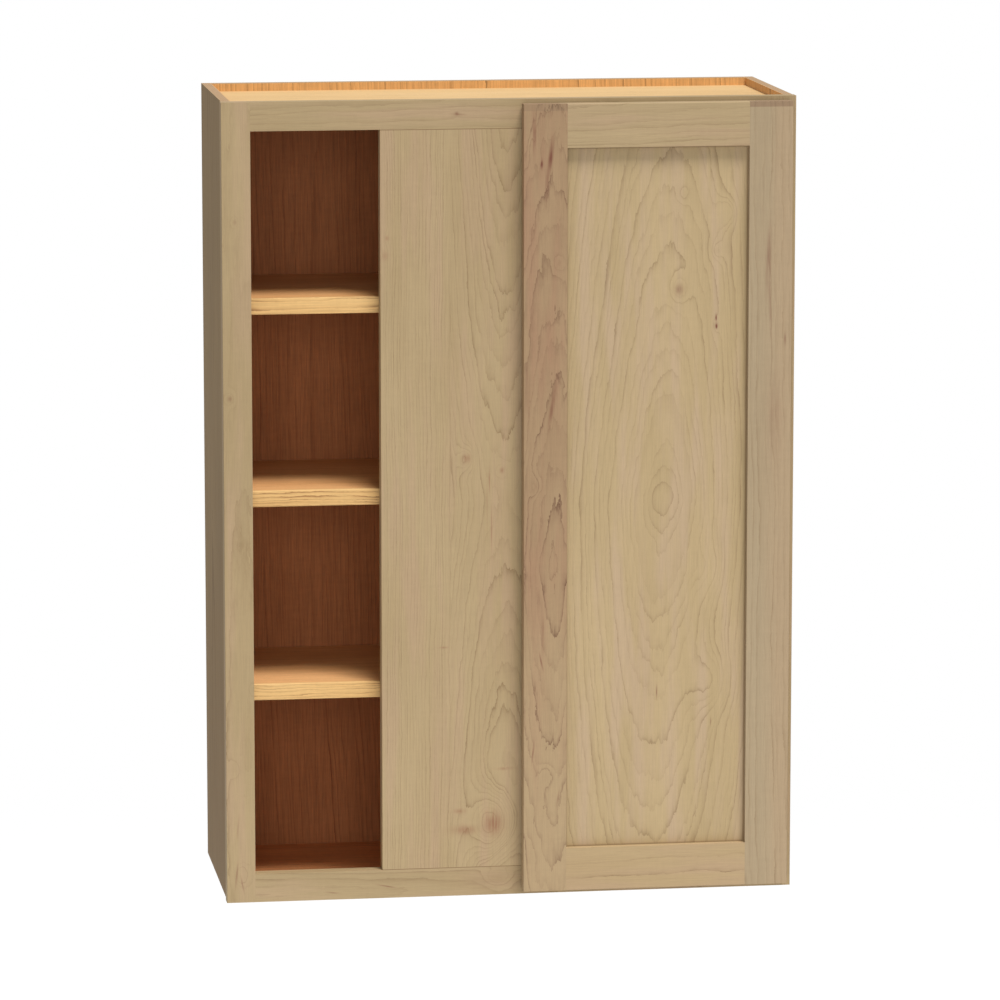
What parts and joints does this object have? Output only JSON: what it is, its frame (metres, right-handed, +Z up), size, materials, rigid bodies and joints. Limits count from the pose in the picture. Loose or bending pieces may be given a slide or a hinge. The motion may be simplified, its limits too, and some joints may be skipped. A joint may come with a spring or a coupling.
{
  "type": "hanging wall cabinet",
  "caption": "Framed wooden wall cabinet for a blind corner: frame-and-panel door on concealed hinges, fixed blind panel, and shelves showing beside it.",
  "frame": {"origin": "midway between the two hanging-screw holes, on the wall plane (the back face of the top hanging rail)", "axes": "+Z up, +Y towards the wall, so the door faces -Y, and +X to the right as seen from the front"},
  "size_m": [0.762, 0.3268, 1.0668],
  "materials": {
    "frame_maple": "unfinished sanded maple",
    "door_maple": "unfinished sanded maple",
    "side_veneer": "unfinished maple veneer",
    "interior_ply": "clear-coated maple plywood",
    "edge_maple": "clear-coated solid maple",
    "dowel_beech": "plain",
    "pin_steel": "nickel plated",
    "hinge_steel": "nickel plated",
    "screw_steel": "zinc plated",
    "spacer_rubber": "soft",
    "bumper_plastic": "clear soft plastic"
  },
  "bodies": {
    "cabinet": {"left_side": "side_veneer", "right_side": "side_veneer", "top_panel": "interior_ply", "bottom_panel": "interior_ply", "back_panel": "interior_ply", "top_hanging_rail": "interior_ply", "bottom_hanging_rail": "interior_ply", "frame_left_stile": "frame_maple", "frame_right_stile": "frame_maple", "frame_top_rail": "frame_maple", "frame_bottom_rail": "frame_maple", "blind_panel": "frame_maple", "frame_dowels": "dowel_beech", "shelf_upper": "interior_ply", "shelf_middle": "interior_ply", "shelf_lower": "interior_ply", "shelf_upper_edge": "edge_maple", "shelf_middle_edge": "edge_maple", "shelf_lower_edge": "edge_maple", "shelf_pins": "pin_steel", "hinge_plates": "hinge_steel", "hinge_plate_screws": "screw_steel", "hinge_arms": "hinge_steel", "hinge_adjusters": "screw_steel"},
    "door": {"door_left_stile": "door_maple", "door_right_stile": "door_maple", "door_top_rail": "door_maple", "door_bottom_rail": "door_maple", "door_panel": "door_maple", "door_panel_spacers": "spacer_rubber", "door_bumpers": "bumper_plastic", "hinge_cups": "hinge_steel", "hinge_pins": "hinge_steel", "hinge_cup_screws": "screw_steel"}
  },
  "joints": [
    {"name": "door_hinge", "type": "hinge", "parent": "cabinet", "child": "door", "pos_m": [0.3652, -0.3174, -0.48], "axis": [0, 0, 1], "range_deg": [0, 105]}
  ]
}
